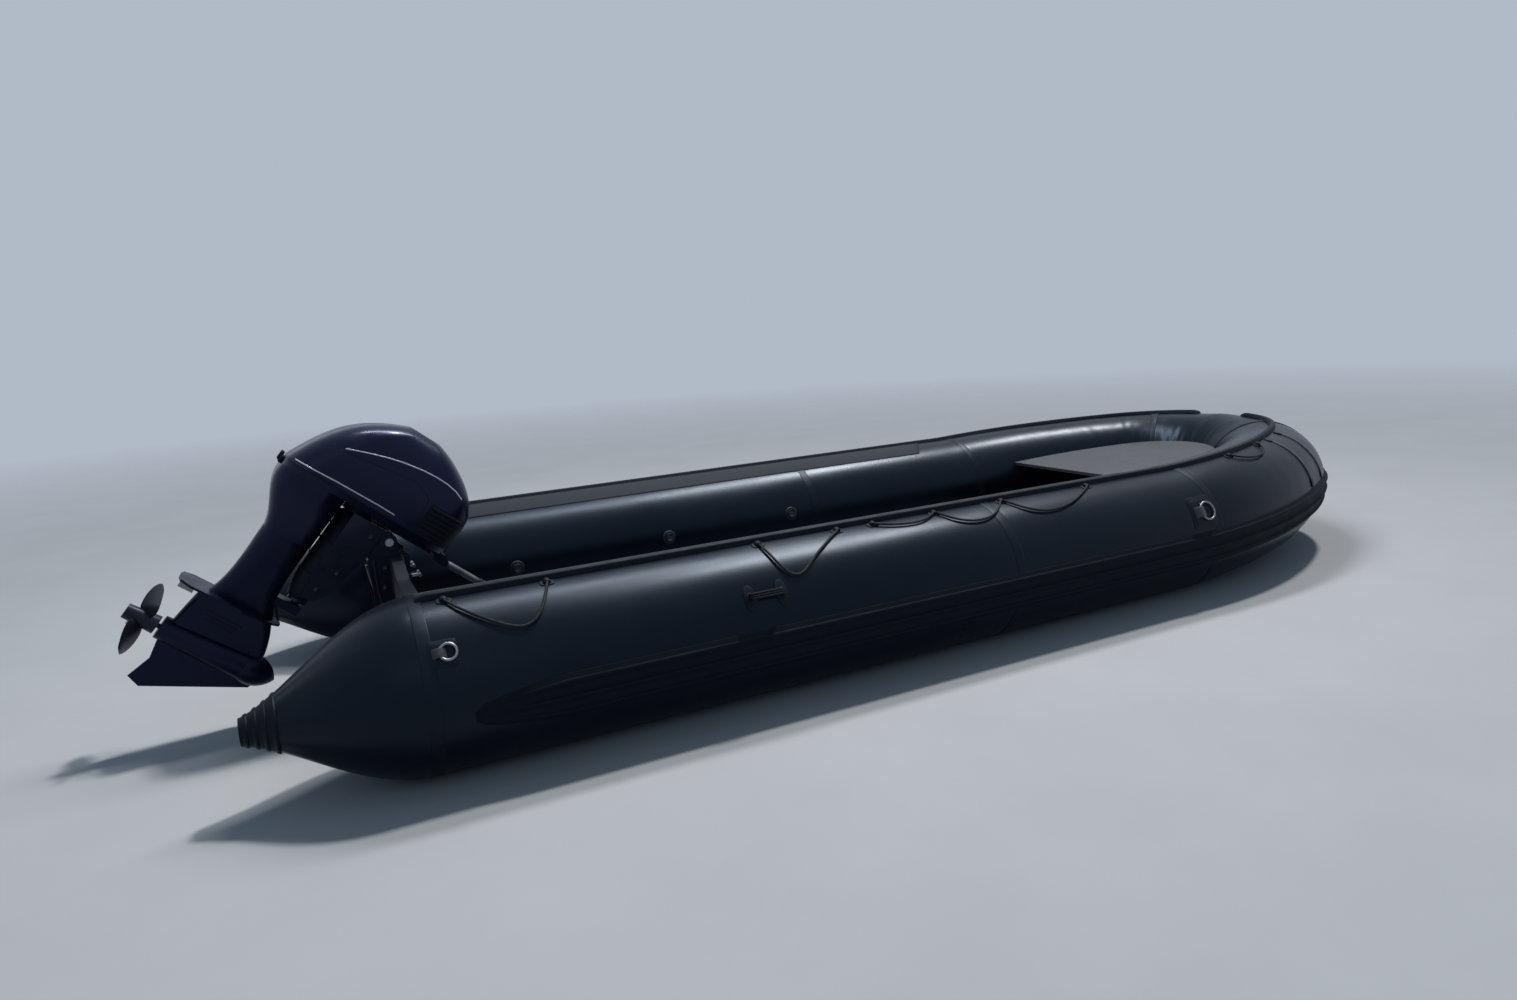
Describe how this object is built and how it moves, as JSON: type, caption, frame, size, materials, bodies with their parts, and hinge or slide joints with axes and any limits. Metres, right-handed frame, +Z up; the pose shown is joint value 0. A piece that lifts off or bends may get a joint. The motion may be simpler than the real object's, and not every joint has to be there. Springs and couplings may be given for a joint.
{
  "type": "inflatable boat with outboard motor",
  "caption": "open inflatable boat with side tubes, tail cones, raised bow, floor panels and a tiltable outboard motor on its transom",
  "frame": {"origin": "middle of the bottom of the whole box, on the ground", "axes": "+X to the bow, +Y to port, +Z up"},
  "size_m": [6.2596, 2.3886, 1.1375],
  "materials": {
    "tube_fabric": "satin rubberised fabric",
    "bottom_fabric": "matt rubberised fabric",
    "moulded_rubber": "matt moulded rubber",
    "grip_fabric": "matt ribbed grip fabric",
    "fitting_metal": "brushed stainless steel",
    "valve_plastic": "matt plastic",
    "floor_aluminium": "checkered sheet",
    "transom_board": "satin paint on board",
    "platform_board": "matt grey board",
    "rope": "braided rope",
    "bracket_paint": "gloss dark paint",
    "bright_steel": "bright steel",
    "cowl_paint": "gloss near-black",
    "casting_paint": "gloss dark paint",
    "engine_mass": "cast block",
    "anode": "bare zinc-grey",
    "propeller_paint": "satin dark paint",
    "tiller_rubber": "matt moulded grip"
  },
  "bodies": {
    "hull": {"side_tube_port": "tube_fabric", "side_tube_starboard": "tube_fabric", "bow_tube_port": "tube_fabric", "bow_tube_starboard": "tube_fabric", "tail_cone_port": "tube_fabric", "tail_cone_starboard": "tube_fabric", "cone_caps": "moulded_rubber", "grip_strips": "grip_fabric", "grab_rails": "moulded_rubber", "rub_strakes": "moulded_rubber", "ring_patches": "moulded_rubber", "lifting_rings": "fitting_metal", "handle_patches": "moulded_rubber", "carry_handles": "moulded_rubber", "valves": "valve_plastic", "floor_stringers": "floor_aluminium", "rope_holders": "moulded_rubber", "bottom_fabric": "bottom_fabric", "keel_tube": "tube_fabric", "floor_panels": "floor_aluminium", "transom": "transom_board", "transom_pad": "floor_aluminium", "transom_drains": "valve_plastic", "bow_platform": "platform_board", "tow_patch": "moulded_rubber", "tow_ring": "fitting_metal", "bow_straps": "moulded_rubber", "lifeline_port_1": "rope", "lifeline_port_2": "rope", "lifeline_port_3": "rope", "lifeline_port_4": "rope", "lifeline_port_5": "rope", "lifeline_port_6": "rope", "lifeline_starboard_1": "rope", "lifeline_starboard_2": "rope", "lifeline_starboard_3": "rope", "lifeline_starboard_4": "rope", "lifeline_starboard_5": "rope", "lifeline_starboard_6": "rope", "clamp_bracket_port": "bracket_paint", "clamp_bracket_starboard": "bracket_paint", "clamp_screws": "bright_steel", "tilt_tube": "bright_steel", "tilt_cylinder": "bracket_paint"},
    "swivel": {"swivel_bracket": "bracket_paint"},
    "motor": {"upper_cowl": "cowl_paint", "lower_cowl": "cowl_paint", "engine_block": "engine_mass", "drive_housing": "casting_paint", "steer_bracket": "bracket_paint", "gearcase": "casting_paint", "trim_tab": "anode"},
    "propeller": {"propeller": "propeller_paint"},
    "tiller": {"tiller_arm": "tiller_rubber", "tiller_grip": "tiller_rubber"},
    "tilt_rod": {"tilt_rod": "bright_steel"}
  },
  "joints": [
    {"name": "engine_tilt", "type": "hinge", "parent": "hull", "child": "swivel", "pos_m": [-2.16965, 0, 0.665], "axis": [0, 1, 0], "range_deg": [-40, 25]},
    {"name": "steering", "type": "hinge", "parent": "swivel", "child": "motor", "pos_m": [-2.28456, 0, 0.76142], "axis": [0.6428, 0, 0.766], "range_deg": [-40, 40]},
    {"name": "propeller_spin", "type": "hinge", "parent": "motor", "child": "propeller", "pos_m": [-3.05303, 0, 0.49899], "axis": [-0.766, 0, 0.6428], "continuous": true},
    {"name": "tiller_fold", "type": "hinge", "parent": "motor", "child": "tiller", "pos_m": [-1.95732, 0, 0.526], "axis": [0, -1, 0], "range_deg": [0, 80]},
    {"name": "tilt_rod_slide", "type": "slide", "parent": "hull", "child": "tilt_rod", "axis": [-0.1719, 0, 0.9851], "range_m": [-0.062, 0.04]}
  ],
  "couplings": [
    {"joint": "tilt_rod_slide", "follows": "engine_tilt", "m_per_rad": 0.0875}
  ]
}
